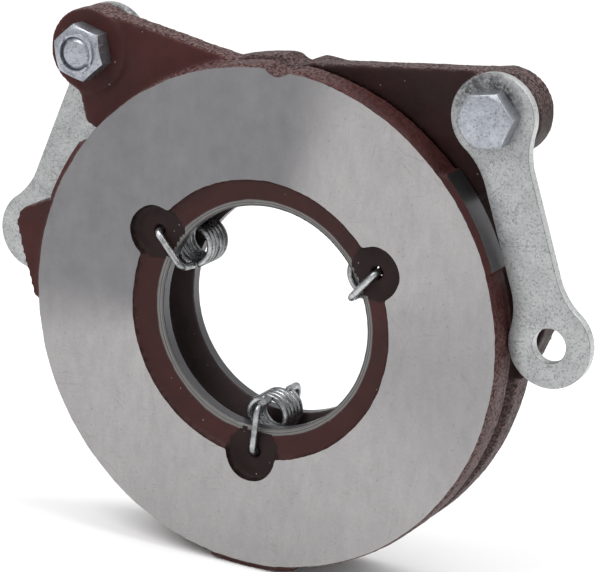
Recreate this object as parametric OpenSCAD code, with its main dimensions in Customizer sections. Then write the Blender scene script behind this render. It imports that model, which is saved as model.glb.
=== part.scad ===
// Ball-and-ramp disc brake actuator: two ramped cast discs with six balls between them,
// three return springs through the bore and two pull links. The disc axis is Y, the
// front ground face looks along -Y, the lugs are at the top (+Z), and the origin is on
// the disc axis, half way between the two ground faces. Lengths are in millimetres.

/* [Discs] */
// Distance between the two ground faces
stack_height = 35; // [34:0.5:38]
// Gap between the mating faces at rest
mating_gap = 0.4; // [0.3:0.1:0.8]
// Radius of the ground friction face
face_radius = 89; // [88.5:0.1:89.6]
// Inner radius of the ground friction face
face_inner_radius = 50.1; // [49:0.1:51]
// Radius of the cast rim
rim_radius = 90; // [89.8:0.1:90.1]
// Radius of the machined guide pads
pad_radius = 91.3; // [91.1:0.1:91.4]
// Radius of the machined lip in the bore
lip_radius = 40; // [39:0.5:41]

/* [Turning] */
// Turn of the rear disc from rest to full braking, in degrees
full_turn = 10; // [8:1:11]
// Distance that the discs spread at full turn
full_spread = 3; // [2:0.2:3.4]

/* [Balls] */
// Diameter of a ball
ball_diameter = 22.2; // [20:0.1:22.4]
// Radius of the circle that the balls sit on
ball_circle = 69; // [68:0.5:70]
// Clearance around a ball in its pocket
ball_clearance = 0.3; // [0.25:0.05:0.4]

/* [Lugs] */
// Sideways distance of a link bolt from the middle
bolt_x = 78; // [77:0.5:79]
// Height of a link bolt over the disc axis
bolt_z = 83.1; // [82:0.1:84]
// Radius of the boss around a link bolt
boss_radius = 15; // [14.5:0.1:15.4]
// Thickness of the boss
boss_thickness = 13.5; // [13:0.5:13.5]
// Thickness of the lug plate behind the boss
lug_thickness = 10; // [9:0.5:10]

/* [Links] */
// Distance between the two holes of a link
link_length = 78.5; // [76:0.5:80]
// Thickness of a link
link_thickness = 4.5; // [4:0.1:5]
// Radius of the link's end at the bolt
bolt_eye_radius = 15; // [14.5:0.1:15.5]
// Radius of the link's free end
free_eye_radius = 14.8; // [14:0.1:15]
// Width of the link's waist
waist_width = 17.2; // [16:0.2:18]
// Radius of the fillets between waist and ends
waist_fillet = 25; // [20:1:30]
// Radius of the free hole
free_hole_radius = 6; // [5:0.1:6.5]
// Lean of a link at rest, in degrees away from straight down
link_lean = 20; // [20:0.5:25]

/* [Fasteners] */
// Radius of the bolt shank
shank_radius = 6; // [5:0.5:6]
// Width across the flats of head and nut
across_flats = 18; // [17:0.5:19]
// Height of the bolt head
head_height = 7.5; // [6.5:0.5:7.5]
// Height of the hexagon of the lock nut
nut_hex_height = 7.4; // [7:0.1:7.4]
// Height of the staked ring on the lock nut
nut_ring_height = 1.5; // [1:0.1:1.6]

/* [Springs] */
// Diameter of the spring wire
wire_diameter = 2.5; // [2:0.1:2.6]
// Outer diameter of the coil
coil_diameter = 16.5; // [15.5:0.5:17.5]
// Number of turns of the coil
coil_turns = 5; // [4:1:5]

/* [Hidden] */

fine = 96;
paint = [0.30, 0.17, 0.16];
zinc = [0.74, 0.75, 0.76];
bolt_zinc = [0.62, 0.65, 0.70];
ball_steel = [0.80, 0.80, 0.82];
wire_steel = [0.66, 0.67, 0.68];

// Heights over the mid-plane in a disc's own frame, +Z towards its ground face.
face_h = stack_height / 2;
mating_h = mating_gap / 2;
edge_h = face_h - 2.5;
rim_low_h = 5;
lip_low_h = 8.8;
lip_high_h = 13.1;
flange_h = 16;
lobe_floor_h = 14.3;
groove_radius = 85;
flange_radius = 50;
undercut_radius = 52;

// Clock angles run from straight up, positive towards the front disc's lug.
lobe_clocks = [60, -60, 180];
lobe_circle = 49.3;
lobe_radius = 9.6;
hook_circle = 49;
hook_hole_radius = 2.1;
pads = [[-69, -46], [55.5, 71], [171, 192]];
// Shallow dip across the rim where the casting's gate was broken off.
gate_clock = -1;
gate_radius = 6;
gate_circle = 92.9;
pad_low_h = 4.5;
pad_high_h = 16.4;
ball_clocks = [30, 90, 150, -150, -90, -30];

// A ball rolls half of the rear disc's turn and rises half of the spread.
ball_run = ball_circle * full_turn * PI / 180 / 2;
ball_rise = full_spread / 2;
run_margin = 1.12;
pocket_radius = ball_diameter / 2 + ball_clearance;
pocket_steps = 3;

lug_low_h = -2.5;
boss_low_h = -5;
// The two castings differ only in where the lug's top edge runs into the rim.
front_root_clock = 12.5;
rear_root_clock = 3.5;
lug_inner_radius = 84;
lug_relief_radius = 88.5;
lug_side = [[-82.8, 71.5], [-77.8, 57], [-73.6, 55]];
anchor_outline = [[-80, 30], [-87, 28.5], [-97, 24.2], [-99.7, 21.6], [-100.2, 17.4],
    [-97.2, 6.9], [-94.3, -0.8], [-91.8, -8.6], [-80, -8.6]];
anchor_low_h = 2.5;
anchor_high_h = 16;

link_play = 0.1;
pin_clearance = 0.05;
// Neighbouring curves of a link's outline overlap by this much, so that none only touch.
curve_overlap = 0.03;
link_near_h = boss_low_h - link_play;
link_far_h = link_near_h - link_thickness;
head_h = link_far_h - link_play;
nut_h = boss_low_h + boss_thickness;
bolt_hole_clearance = 0.2;
tip_radius = 4.4;
tip_chamfer = 1.4;
tip_h = nut_h + nut_hex_height + nut_ring_height - 0.1;
nut_ring_radius = 7;
stake_clocks = [134, -33];
nut_turn = -16;
head_turn = 10;
stake_width = 1.6;
stake_depth = 1.1;

wire_radius = wire_diameter / 2;
coil_radius = (coil_diameter - wire_diameter) / 2;
coil_pitch = wire_diameter + 0.15;
coil_half = coil_turns * coil_pitch / 2;
coil_steps = 18;
wire_sides = 8;
corner_steps = 4;
leg_h = 15.9;
hook_end_h = 10;
// Where each spring's leg bends outwards, as [distance along the lobe's radius, offset,
// radius of the circle that the coil's centre sits on].
spring_seats = [[34.2, 4.7, 38.2], [36, -4.7, 40.5], [31.6, 1.1, 38.2]];

function clock_point(radius, clock) = [-radius * sin(clock), radius * cos(clock)];
function unit(v) = v / norm(v);
function direction(from, to) = atan2(to.y - from.y, to.x - from.x);

// Point where the line from a point touches a circle, on the side given as 1 or -1.
function touch_point(from, centre, radius, side) =
    let (heading = direction(centre, from))
    let (swing = acos(radius / norm(from - centre)))
    centre + radius * [cos(heading + side * swing), sin(heading + side * swing)];

// Places a disc's own frame in the part: +Z of the disc looks along -Y.
module front_side() {
    rotate([90, 0, 0])
        children();
}

// The rear side is the front side turned half round about the vertical.
module rear_side() {
    rotate([0, 0, 180])
        front_side()
            children();
}

module at_clock(radius, clock, height) {
    translate([-radius * sin(clock), radius * cos(clock), height])
        children();
}

// ---- cast discs ----

module disc_body() {
    rotate_extrude($fn = fine)
        polygon([
            [face_inner_radius, face_h],
            [face_radius, face_h],
            [rim_radius, edge_h],
            [rim_radius, rim_low_h],
            [groove_radius, mating_h],
            [undercut_radius, mating_h],
            [undercut_radius, lip_low_h],
            [lip_radius, lip_low_h],
            [lip_radius, lip_high_h],
            [flange_radius, flange_h]
        ]);
}

module guide_pads() {
    for (pad = pads)
        rotate([0, 0, 90 + pad[0]])
            rotate_extrude(angle = pad[1] - pad[0], $fn = fine)
                translate([groove_radius, pad_low_h])
                    square([pad_radius - groove_radius, pad_high_h - pad_low_h]);
}

module lug(root_clock) {
    bolt_centre = [-bolt_x, bolt_z];
    root = clock_point(rim_radius, root_clock);
    translate([0, 0, lug_low_h])
        linear_extrude(lug_thickness)
            polygon([
                touch_point(root, bolt_centre, boss_radius - 0.2, 1),
                root,
                clock_point(lug_inner_radius, root_clock + 1),
                clock_point(lug_inner_radius - 4, 33),
                clock_point(lug_inner_radius, 54),
                lug_side[2],
                lug_side[1],
                lug_side[0]
            ]);
    translate([-bolt_x, bolt_z, boss_low_h])
        cylinder(h = boss_thickness, r = boss_radius, $fn = fine);
}

module anchor_lug() {
    translate([0, 0, anchor_low_h])
        linear_extrude(anchor_high_h - anchor_low_h)
            polygon(anchor_outline);
}

// Groove that holds a ball at rest and lets it climb as the discs turn.
module ball_pocket(clock) {
    start = [-ball_circle * sin(clock), ball_circle * cos(clock), 0];
    run = [-ball_run * cos(clock), -ball_run * sin(clock), -ball_rise] * run_margin;
    for (step = [0:pocket_steps])
        translate(start + run * step / pocket_steps)
            sphere(r = pocket_radius, $fn = 64);
}

module spring_lobes() {
    for (clock = lobe_clocks) {
        at_clock(lobe_circle, clock, lobe_floor_h)
            cylinder(h = face_h, r = lobe_radius, $fn = fine);
        at_clock(hook_circle, clock, lip_low_h - 1)
            cylinder(h = face_h, r = hook_hole_radius, $fn = 32);
    }
}

module disc(root_clock) {
    difference() {
        union() {
            disc_body();
            guide_pads();
            lug(root_clock);
            anchor_lug();
        }
        translate([0, 0, boss_low_h - 1])
            cylinder(h = mating_h - boss_low_h + 1, r = lug_relief_radius, $fn = fine);
        at_clock(gate_circle, gate_clock, -1)
            cylinder(h = face_h + 2, r = gate_radius, $fn = 64);
        spring_lobes();
        for (clock = ball_clocks)
            ball_pocket(clock);
        translate([-bolt_x, bolt_z, boss_low_h - 1])
            cylinder(h = boss_thickness + 2, r = shank_radius + bolt_hole_clearance, $fn = 64);
    }
}

module front_disc() {
    color(paint)
        front_side()
            disc(front_root_clock);
}

module rear_disc() {
    color(paint)
        rear_side()
            disc(rear_root_clock);
}

// ---- balls ----

module ball(number) {
    color(ball_steel)
        front_side()
            at_clock(ball_circle, ball_clocks[number - 1], 0)
                sphere(d = ball_diameter, $fn = 64);
}

// ---- return springs ----

function coil_point(seat, angle, height) =
    [seat[2] - coil_radius * cos(angle), coil_radius * sin(angle), height];

// Smooth corner at point b on the way from a to c, as a quadratic curve.
function corner(a, b, c, reach) =
    let (from = b + reach * unit(a - b))
    let (to = b + reach * unit(c - b))
    [for (t = [0:1 / corner_steps:1]) (1 - t) * (1 - t) * from + 2 * t * (1 - t) * b + t * t * to];

// Leg in the lobe's frame: off the coil, forward, outwards and into the lobe's hole. The
// hand is 1 for the front leg and -1 for the rear one, which leaves the coil backwards.
function leg_route(seat, end_angle, hand) =
    let (coil_end = coil_point(seat, end_angle, coil_half))
    let (before = coil_point(seat, end_angle - hand * 360 / coil_steps, coil_half))
    let (knee = [seat[0], seat[1], leg_h])
    let (over_hole = [hook_circle, 0, leg_h])
    let (hook_end = [hook_circle, 0, hook_end_h])
    concat(
        corner(before, coil_end, knee, 1.8),
        corner(coil_end, knee, over_hole, 3),
        corner(knee, over_hole, hook_end, 2.4),
        [hook_end]);

function flipped(points) = [for (i = [len(points) - 1:-1:0]) [points[i].x, points[i].y, -points[i].z]];

function spring_route(seat) =
    let (end_angle = atan2(seat[1], seat[2] - seat[0]))
    let (last = coil_turns * coil_steps - 1)
    concat(
        flipped(leg_route(seat, end_angle, -1)),
        [for (step = [1:last]) coil_point(seat, end_angle + step * 360 / coil_steps,
            (step / (last + 1) - 0.5) * 2 * coil_half)],
        leg_route(seat, end_angle, 1));

// Solid wire along a route, with a ring of points at each of its points.
module wire(route) {
    last = len(route) - 1;
    ahead = [for (i = [0:last]) unit(route[min(i + 1, last)] - route[max(i - 1, 0)])];
    start = unit(cross(ahead[0], [0.3, 0.9, 0.1]));
    across = [for (i = 0, n = start; i <= last; i = i + 1,
        n = unit(n - (n * ahead[min(i, last)]) * ahead[min(i, last)])) n];
    points = [for (i = [0:last]) for (side = [0:wire_sides - 1])
        let (n = unit(across[i] - (across[i] * ahead[i]) * ahead[i]))
        let (turn = side * 360 / wire_sides)
        route[i] + wire_radius * (cos(turn) * n + sin(turn) * cross(ahead[i], n))];
    sides = [for (i = [0:last - 1]) for (side = [0:wire_sides - 1])
        let (a = i * wire_sides + side)
        let (b = i * wire_sides + (side + 1) % wire_sides)
        [a, a + wire_sides, b + wire_sides, b]];
    caps = [[for (side = [0:wire_sides - 1]) side],
        [for (side = [wire_sides - 1:-1:0]) last * wire_sides + side]];
    polyhedron(points, concat(sides, caps), convexity = 10);
}

module return_spring(number) {
    color(wire_steel)
        front_side()
            rotate([0, 0, 90 + lobe_clocks[number - 1]])
                wire(spring_route(spring_seats[number - 1]));
}

// ---- links ----

// Link along +X from the bolt's centre, its near face at height 0 and the plate below.
module link_blank() {
    half_waist = waist_width / 2;
    fillet_y = half_waist + waist_fillet;
    bolt_fillet_x = sqrt(pow(waist_fillet + bolt_eye_radius - curve_overlap, 2) - pow(fillet_y, 2));
    free_fillet_x = sqrt(pow(waist_fillet + free_eye_radius - curve_overlap, 2) - pow(fillet_y, 2));
    bolt_share = bolt_eye_radius / (bolt_eye_radius + waist_fillet);
    free_share = free_eye_radius / (free_eye_radius + waist_fillet);
    bolt_touch_x = bolt_fillet_x * bolt_share;
    free_touch_x = link_length - free_fillet_x * free_share;
    side = fillet_y * max(bolt_share, free_share) - curve_overlap;
    translate([0, 0, -link_thickness])
        difference() {
            union() {
                cylinder(h = link_thickness, r = bolt_eye_radius, $fn = fine);
                translate([link_length, 0, 0])
                    cylinder(h = link_thickness, r = free_eye_radius, $fn = fine);
                translate([bolt_touch_x, -side, 0])
                    cube([free_touch_x - bolt_touch_x, 2 * side, link_thickness]);
            }
            for (hand = [-1, 1]) {
                translate([bolt_fillet_x, hand * fillet_y, -1])
                    cylinder(h = link_thickness + 2, r = waist_fillet, $fn = fine);
                translate([link_length - free_fillet_x, hand * fillet_y, -1])
                    cylinder(h = link_thickness + 2, r = waist_fillet, $fn = fine);
                translate([bolt_fillet_x, (hand - 1) * side + hand * (half_waist + curve_overlap), -1])
                    cube([link_length - bolt_fillet_x - free_fillet_x, 2 * side, link_thickness + 2]);
            }
            translate([0, 0, -1])
                cylinder(h = link_thickness + 2, r = shank_radius + pin_clearance, $fn = 64);
            translate([link_length, 0, -1])
                cylinder(h = link_thickness + 2, r = free_hole_radius, $fn = 64);
        }
}

module link() {
    translate([-bolt_x, bolt_z, link_near_h])
        rotate([0, 0, -90 - link_lean])
            link_blank();
}

module left_link() {
    color(zinc)
        front_side()
            link();
}

module right_link() {
    color(zinc)
        rear_side()
            link();
}

// ---- bolts and lock nuts ----

module hexagon(height) {
    cylinder(h = height, r = across_flats / sqrt(3), $fn = 6);
}

// Hexagon whose corners are turned off at 30 degrees at its upper end.
module chamfered_hexagon(height) {
    corner = across_flats / sqrt(3);
    skirt = (corner - across_flats / 2 + 0.4) * tan(30);
    intersection() {
        hexagon(height);
        union() {
            cylinder(h = height - skirt, r = corner + 1, $fn = fine);
            translate([0, 0, height - skirt])
                cylinder(h = skirt, r1 = corner, r2 = across_flats / 2 - 0.4, $fn = fine);
        }
    }
}

module bolt() {
    translate([-bolt_x, bolt_z, 0]) {
        translate([0, 0, head_h])
            rotate([180, 0, -head_turn])
                chamfered_hexagon(head_height);
        translate([0, 0, head_h])
            cylinder(h = tip_h - head_h - tip_chamfer, r = shank_radius, $fn = 64);
        translate([0, 0, tip_h - tip_chamfer])
            cylinder(h = tip_chamfer, r1 = shank_radius, r2 = tip_radius, $fn = 64);
    }
}

// Hexagon with a ring over it that is cut across at two places, where it is staked.
module lock_nut() {
    ring_top = nut_hex_height + nut_ring_height;
    translate([-bolt_x, bolt_z, nut_h])
        difference() {
            union() {
                rotate([0, 0, nut_turn])
                    chamfered_hexagon(nut_hex_height);
                translate([0, 0, 1])
                    cylinder(h = ring_top - 1, r = nut_ring_radius, $fn = 64);
            }
            translate([0, 0, -1])
                cylinder(h = ring_top + 2, r = shank_radius + pin_clearance, $fn = 64);
            for (clock = stake_clocks)
                rotate([0, 0, clock])
                    translate([shank_radius - 2, -stake_width / 2, ring_top - stake_depth])
                        cube([nut_ring_radius, stake_width, stake_depth + 1]);
        }
}

module left_bolt() {
    color(bolt_zinc)
        front_side()
            bolt();
}

module left_nut() {
    color(bolt_zinc)
        front_side()
            lock_nut();
}

module right_bolt() {
    color(bolt_zinc)
        rear_side()
            bolt();
}

module right_nut() {
    color(bolt_zinc)
        rear_side()
            lock_nut();
}

front_disc();
rear_disc();
ball(1);  // ball_1
ball(2);  // ball_2
ball(3);  // ball_3
ball(4);  // ball_4
ball(5);  // ball_5
ball(6);  // ball_6
return_spring(1);  // return_spring_1
return_spring(2);  // return_spring_2
return_spring(3);  // return_spring_3
left_link();
right_link();
left_bolt();
left_nut();
right_bolt();
right_nut();
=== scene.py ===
"""Looks of a ball-and-ramp disc brake actuator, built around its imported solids.

The disc axis is Y, the front ground face looks along -Y and the lugs are at the top (+Z).
Lengths are in metres. Each disc is made as the real one is: its solid gets stock on the faces
that are machined, then a sand-cast skin, and is cut back to its ground face, pads and lip.
"""

import logging
import math
from dataclasses import dataclass
from enum import Enum

import bmesh
import bpy
from mathutils import Matrix, Vector, noise


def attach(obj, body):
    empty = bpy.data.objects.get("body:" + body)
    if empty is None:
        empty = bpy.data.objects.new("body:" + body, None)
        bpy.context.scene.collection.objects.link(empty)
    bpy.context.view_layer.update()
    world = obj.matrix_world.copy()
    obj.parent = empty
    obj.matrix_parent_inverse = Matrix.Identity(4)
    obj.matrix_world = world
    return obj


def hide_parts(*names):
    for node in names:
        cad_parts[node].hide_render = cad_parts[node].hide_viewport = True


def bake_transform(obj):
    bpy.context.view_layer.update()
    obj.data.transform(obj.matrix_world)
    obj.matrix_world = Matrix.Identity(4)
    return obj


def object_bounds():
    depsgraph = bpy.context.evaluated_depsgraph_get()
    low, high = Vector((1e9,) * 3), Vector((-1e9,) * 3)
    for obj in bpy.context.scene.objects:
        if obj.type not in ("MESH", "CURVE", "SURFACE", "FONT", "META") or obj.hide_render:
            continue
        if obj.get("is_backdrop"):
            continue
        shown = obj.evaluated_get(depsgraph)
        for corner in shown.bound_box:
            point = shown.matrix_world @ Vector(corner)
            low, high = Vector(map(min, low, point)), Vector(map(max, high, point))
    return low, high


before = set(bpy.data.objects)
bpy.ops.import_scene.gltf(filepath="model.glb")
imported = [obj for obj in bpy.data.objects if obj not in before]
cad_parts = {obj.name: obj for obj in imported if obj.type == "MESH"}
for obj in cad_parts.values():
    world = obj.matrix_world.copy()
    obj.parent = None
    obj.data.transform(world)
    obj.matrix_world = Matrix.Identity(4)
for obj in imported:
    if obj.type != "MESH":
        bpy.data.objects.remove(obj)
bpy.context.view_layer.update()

log = logging.getLogger("actuator")
MM = 0.001


class Side(Enum):
    """Which half of the actuator a piece belongs to: the direction of its ground face on Y."""

    FRONT = -1
    REAR = 1


class Land(Enum):
    """Surfaces of a disc, by material slot on its mesh."""

    CAST = 0
    GROUND = 1
    TURNED = 2
    BORE = 3
    LOBE = 4
    RECESS = 5


# ---- meshes ----


def new_piece(name: str, mesh: bpy.types.Mesh) -> bpy.types.Object:
    """Adds an object at the origin that shows a mesh.

    Args:
        name: Name of the object.
        mesh: Its mesh, with its place in its vertices.

    Returns:
        The new object.
    """
    piece = bpy.data.objects.new(name, mesh)
    bpy.context.scene.collection.objects.link(piece)
    return piece


def merged_solid(node: str) -> bmesh.types.BMesh:
    """Copies a solid's mesh and joins its loose triangles.

    Args:
        node: Name of the solid.

    Returns:
        The copy, closed, as a bmesh that the caller frees.
    """
    bm = bmesh.new()
    bm.from_mesh(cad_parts[node].data)
    bmesh.ops.remove_doubles(bm, verts=bm.verts, dist=0.001 * MM)
    return bm


def to_piece(bm: bmesh.types.BMesh, name: str) -> bpy.types.Object:
    """Turns a bmesh into a piece and frees it.

    Args:
        bm: The shape.
        name: Name of the piece and of its mesh.

    Returns:
        The piece, without normals left over from the solid.
    """
    mesh = bpy.data.meshes.new(name)
    bm.to_mesh(mesh)
    bm.free()
    left_over = mesh.attributes.get("custom_normal")
    if left_over:
        mesh.attributes.remove(left_over)
    mesh.materials.clear()
    return new_piece(name, mesh)


def settle(piece: bpy.types.Object) -> None:
    """Makes a piece's modifiers part of its mesh.

    Args:
        piece: The piece, whose modifiers are applied and removed.
    """
    graph = bpy.context.evaluated_depsgraph_get()
    mesh = bpy.data.meshes.new_from_object(piece.evaluated_get(graph))
    before = piece.data
    piece.modifiers.clear()
    piece.data = mesh
    mesh.name = piece.name
    bpy.data.meshes.remove(before)


def ramp(value: float, low: float, high: float) -> float:
    """Smooth step from 0 to 1.

    Args:
        value: Where the step is read.
        low: Value at which it is 0, which may be the larger of the two.
        high: Value at which it is 1.

    Returns:
        Share from 0 to 1.
    """
    share = min(max((value - low) / (high - low), 0.0), 1.0)
    return share * share * (3 - 2 * share)


# ---- effects that several finishes use, as shader node groups ----


class Effect:
    """A node group that gives masks, heights or values over a surface."""

    def __init__(self, name: str, inputs: dict[str, float], outputs: list[str]) -> None:
        """Makes the group with a Vector input, number inputs and number outputs.

        Args:
            name: Name of the group.
            inputs: Names of its number inputs, with their defaults.
            outputs: Names of its number outputs.
        """
        self.tree = bpy.data.node_groups.new(name, "ShaderNodeTree")
        face = self.tree.interface
        face.new_socket("Vector", in_out="INPUT", socket_type="NodeSocketVector")
        for title, value in inputs.items():
            socket = face.new_socket(title, in_out="INPUT", socket_type="NodeSocketFloat")
            socket.default_value = value
        for title in outputs:
            face.new_socket(title, in_out="OUTPUT", socket_type="NodeSocketFloat")
        self.entry = self.tree.nodes.new("NodeGroupInput")
        self.exit = self.tree.nodes.new("NodeGroupOutput")

    def add(self, kind: str, links: dict, **settings) -> bpy.types.Node:
        """Adds a node to the group and feeds it.

        Args:
            kind: Type of the node.
            links: Input socket, by name or number, to an output socket or a fixed value.
            **settings: Properties of the node.

        Returns:
            The new node.
        """
        return add_node(self.tree, kind, links, **settings)

    def give(self, title: str, socket: bpy.types.NodeSocket) -> None:
        """Feeds one of the group's outputs.

        Args:
            title: Name of the output.
            socket: What feeds it.
        """
        self.tree.links.new(socket, self.exit.inputs[title])


def add_node(tree: bpy.types.NodeTree, kind: str, links: dict, **settings) -> bpy.types.Node:
    """Adds a node to a tree and feeds its inputs.

    Args:
        tree: The node tree.
        kind: Type of the node.
        links: Input socket, by name or number, to an output socket or a fixed value.
        **settings: Properties of the node.

    Returns:
        The new node.
    """
    node = tree.nodes.new(kind)
    for title, value in settings.items():
        setattr(node, title, value)
    for key, value in links.items():
        if isinstance(value, bpy.types.NodeSocket):
            tree.links.new(value, node.inputs[key])
        else:
            node.inputs[key].default_value = value
    return node


def stretched(effect: Effect, sizes: tuple[float, float, float],
        turn: float = 0.0) -> bpy.types.NodeSocket:
    """Turns an effect's coordinates about the disc axis and stretches them.

    Args:
        effect: The effect, whose Vector input is read.
        sizes: Scale along each axis after the turn.
        turn: Turn about Y in degrees.

    Returns:
        The stretched coordinates.
    """
    turned = effect.add("ShaderNodeVectorRotate", {"Vector": effect.entry.outputs["Vector"],
        "Angle": math.radians(turn)}, rotation_type="Y_AXIS")
    return effect.add("ShaderNodeVectorMath", {0: turned.outputs[0], 1: sizes},
        operation="MULTIPLY").outputs[0]


def make_mottle() -> bpy.types.NodeTree:
    """Cloudy patches.

    Returns:
        Group with outputs Broad and Fine, both from 0 to 1.
    """
    effect = Effect("mottle", {"Scale": 60.0, "Contrast": 1.0}, ["Broad", "Fine"])
    for title, factor, detail in (("Broad", 1.0, 3.0), ("Fine", 7.0, 4.0)):
        scale = effect.add("ShaderNodeMath", {0: effect.entry.outputs["Scale"], 1: factor},
            operation="MULTIPLY")
        cloud = effect.add("ShaderNodeTexNoise", {"Vector": effect.entry.outputs["Vector"],
            "Scale": scale.outputs[0], "Detail": detail, "Roughness": 0.62})
        centred = effect.add("ShaderNodeMath", {0: cloud.outputs["Fac"], 1: 0.5}, operation="SUBTRACT")
        steep = effect.add("ShaderNodeMath", {0: centred.outputs[0],
            1: effect.entry.outputs["Contrast"]}, operation="MULTIPLY")
        back = effect.add("ShaderNodeMath", {0: steep.outputs[0], 1: 0.5}, operation="ADD",
            use_clamp=True)
        effect.give(title, back.outputs[0])
    return effect.tree


def make_specks() -> bpy.types.NodeTree:
    """Small separate spots, such as pits, dirt and chips.

    Returns:
        Group with output Spots, 1 on a spot.
    """
    effect = Effect("specks", {"Scale": 600.0, "Share": 0.1, "Radius": 0.3}, ["Spots"])
    bent = effect.add("ShaderNodeTexNoise", {"Vector": effect.entry.outputs["Vector"],
        "Scale": 900.0, "Detail": 2.0})
    shift = effect.add("ShaderNodeVectorMath", {0: bent.outputs["Color"], 1: (0.0012, 0.0012, 0.0012)},
        operation="MULTIPLY")
    place = effect.add("ShaderNodeVectorMath", {0: effect.entry.outputs["Vector"],
        1: shift.outputs[0]}, operation="ADD")
    cells = effect.add("ShaderNodeTexVoronoi", {"Vector": place.outputs[0],
        "Scale": effect.entry.outputs["Scale"]})
    near = effect.add("ShaderNodeMath", {0: effect.entry.outputs["Radius"],
        1: cells.outputs["Distance"]}, operation="SUBTRACT")
    spot = effect.add("ShaderNodeMath", {0: near.outputs[0], 1: 8.0}, operation="MULTIPLY",
        use_clamp=True)
    split = effect.add("ShaderNodeSeparateColor", {0: cells.outputs["Color"]})
    chosen = effect.add("ShaderNodeMath", {0: split.outputs[0], 1: effect.entry.outputs["Share"]},
        operation="LESS_THAN")
    both = effect.add("ShaderNodeMath", {0: spot.outputs[0], 1: chosen.outputs[0]},
        operation="MULTIPLY")
    effect.give("Spots", both.outputs[0])
    return effect.tree


def make_scratches() -> bpy.types.NodeTree:
    """Fine handling scratches that lie in a few directions.

    Returns:
        Group with output Lines, 1 in a scratch.
    """
    effect = Effect("scratches", {"Width": 0.012, "Share": 0.5}, ["Lines"])
    total = None
    for turn, length, pitch in ((12.0, 22.0, 420.0), (81.0, 15.0, 360.0), (-38.0, 26.0, 300.0)):
        lay = stretched(effect, (length, length, pitch), turn)
        lines = effect.add("ShaderNodeTexNoise", {"Vector": lay, "Scale": 1.0, "Detail": 1.0})
        off = effect.add("ShaderNodeMath", {0: lines.outputs["Fac"], 1: 0.5}, operation="SUBTRACT")
        size = effect.add("ShaderNodeMath", {0: off.outputs[0]}, operation="ABSOLUTE")
        thin = effect.add("ShaderNodeMath", {0: size.outputs[0], 1: effect.entry.outputs["Width"]},
            operation="LESS_THAN")
        where = effect.add("ShaderNodeTexNoise", {"Vector": effect.entry.outputs["Vector"],
            "Scale": 90.0 + turn, "Detail": 2.0})
        kept = effect.add("ShaderNodeMath", {0: where.outputs["Fac"],
            1: effect.entry.outputs["Share"]}, operation="GREATER_THAN")
        line = effect.add("ShaderNodeMath", {0: thin.outputs[0], 1: kept.outputs[0]},
            operation="MULTIPLY")
        total = line if total is None else effect.add("ShaderNodeMath",
            {0: total.outputs[0], 1: line.outputs[0]}, operation="MAXIMUM")
    effect.give("Lines", total.outputs[0])
    return effect.tree


def make_cast_grain() -> bpy.types.NodeTree:
    """Skin that sand leaves on a casting, under its paint.

    Returns:
        Group with outputs Height, about 0, and Hollows, 1 in the deeper hollows.
    """
    effect = Effect("cast_grain", {"Size": 1.0}, ["Height", "Hollows"])
    finer = effect.add("ShaderNodeMath", {0: 1500.0, 1: effect.entry.outputs["Size"]},
        operation="DIVIDE")
    sand = effect.add("ShaderNodeTexNoise", {"Vector": effect.entry.outputs["Vector"],
        "Scale": finer.outputs[0], "Detail": 5.0, "Roughness": 0.7})
    coarse = effect.add("ShaderNodeMath", {0: 1050.0, 1: effect.entry.outputs["Size"]},
        operation="DIVIDE")
    lumps = effect.add("ShaderNodeTexVoronoi", {"Vector": effect.entry.outputs["Vector"],
        "Scale": coarse.outputs[0]}, feature="SMOOTH_F1")
    skin = effect.add("ShaderNodeMath", {0: sand.outputs["Fac"], 1: lumps.outputs["Distance"]},
        operation="SUBTRACT")
    effect.give("Height", skin.outputs[0])
    hollow = effect.add("ShaderNodeMapRange", {"Value": skin.outputs[0], "From Min": 0.12,
        "From Max": -0.18})
    effect.give("Hollows", hollow.outputs[0])
    return effect.tree


def make_edge_wear() -> bpy.types.NodeTree:
    """Rubbed outer edges.

    Returns:
        Group with output Worn, 1 where the finish has rubbed off.
    """
    effect = Effect("edge_wear", {"Start": 0.54, "Full": 0.6}, ["Worn"])
    shape = effect.add("ShaderNodeNewGeometry", {})
    rubbed = effect.add("ShaderNodeMapRange", {"Value": shape.outputs["Pointiness"],
        "From Min": effect.entry.outputs["Start"], "From Max": effect.entry.outputs["Full"]})
    patches = effect.add("ShaderNodeTexNoise", {"Vector": effect.entry.outputs["Vector"],
        "Scale": 300.0, "Detail": 3.0})
    patch = effect.add("ShaderNodeMapRange", {"Value": patches.outputs["Fac"], "From Min": 0.42,
        "From Max": 0.6})
    worn = effect.add("ShaderNodeMath", {0: rubbed.outputs[0], 1: patch.outputs[0]},
        operation="MULTIPLY")
    effect.give("Worn", worn.outputs[0])
    return effect.tree


@dataclass(frozen=True)
class Effects:
    """The node groups, built once."""

    mottle: bpy.types.NodeTree
    specks: bpy.types.NodeTree
    scratches: bpy.types.NodeTree
    cast_grain: bpy.types.NodeTree
    edge_wear: bpy.types.NodeTree

    @classmethod
    def build(cls) -> "Effects":
        """Builds every group.

        Returns:
            The groups.
        """
        return cls(make_mottle(), make_specks(), make_scratches(), make_cast_grain(),
            make_edge_wear())


# ---- finishes ----


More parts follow.
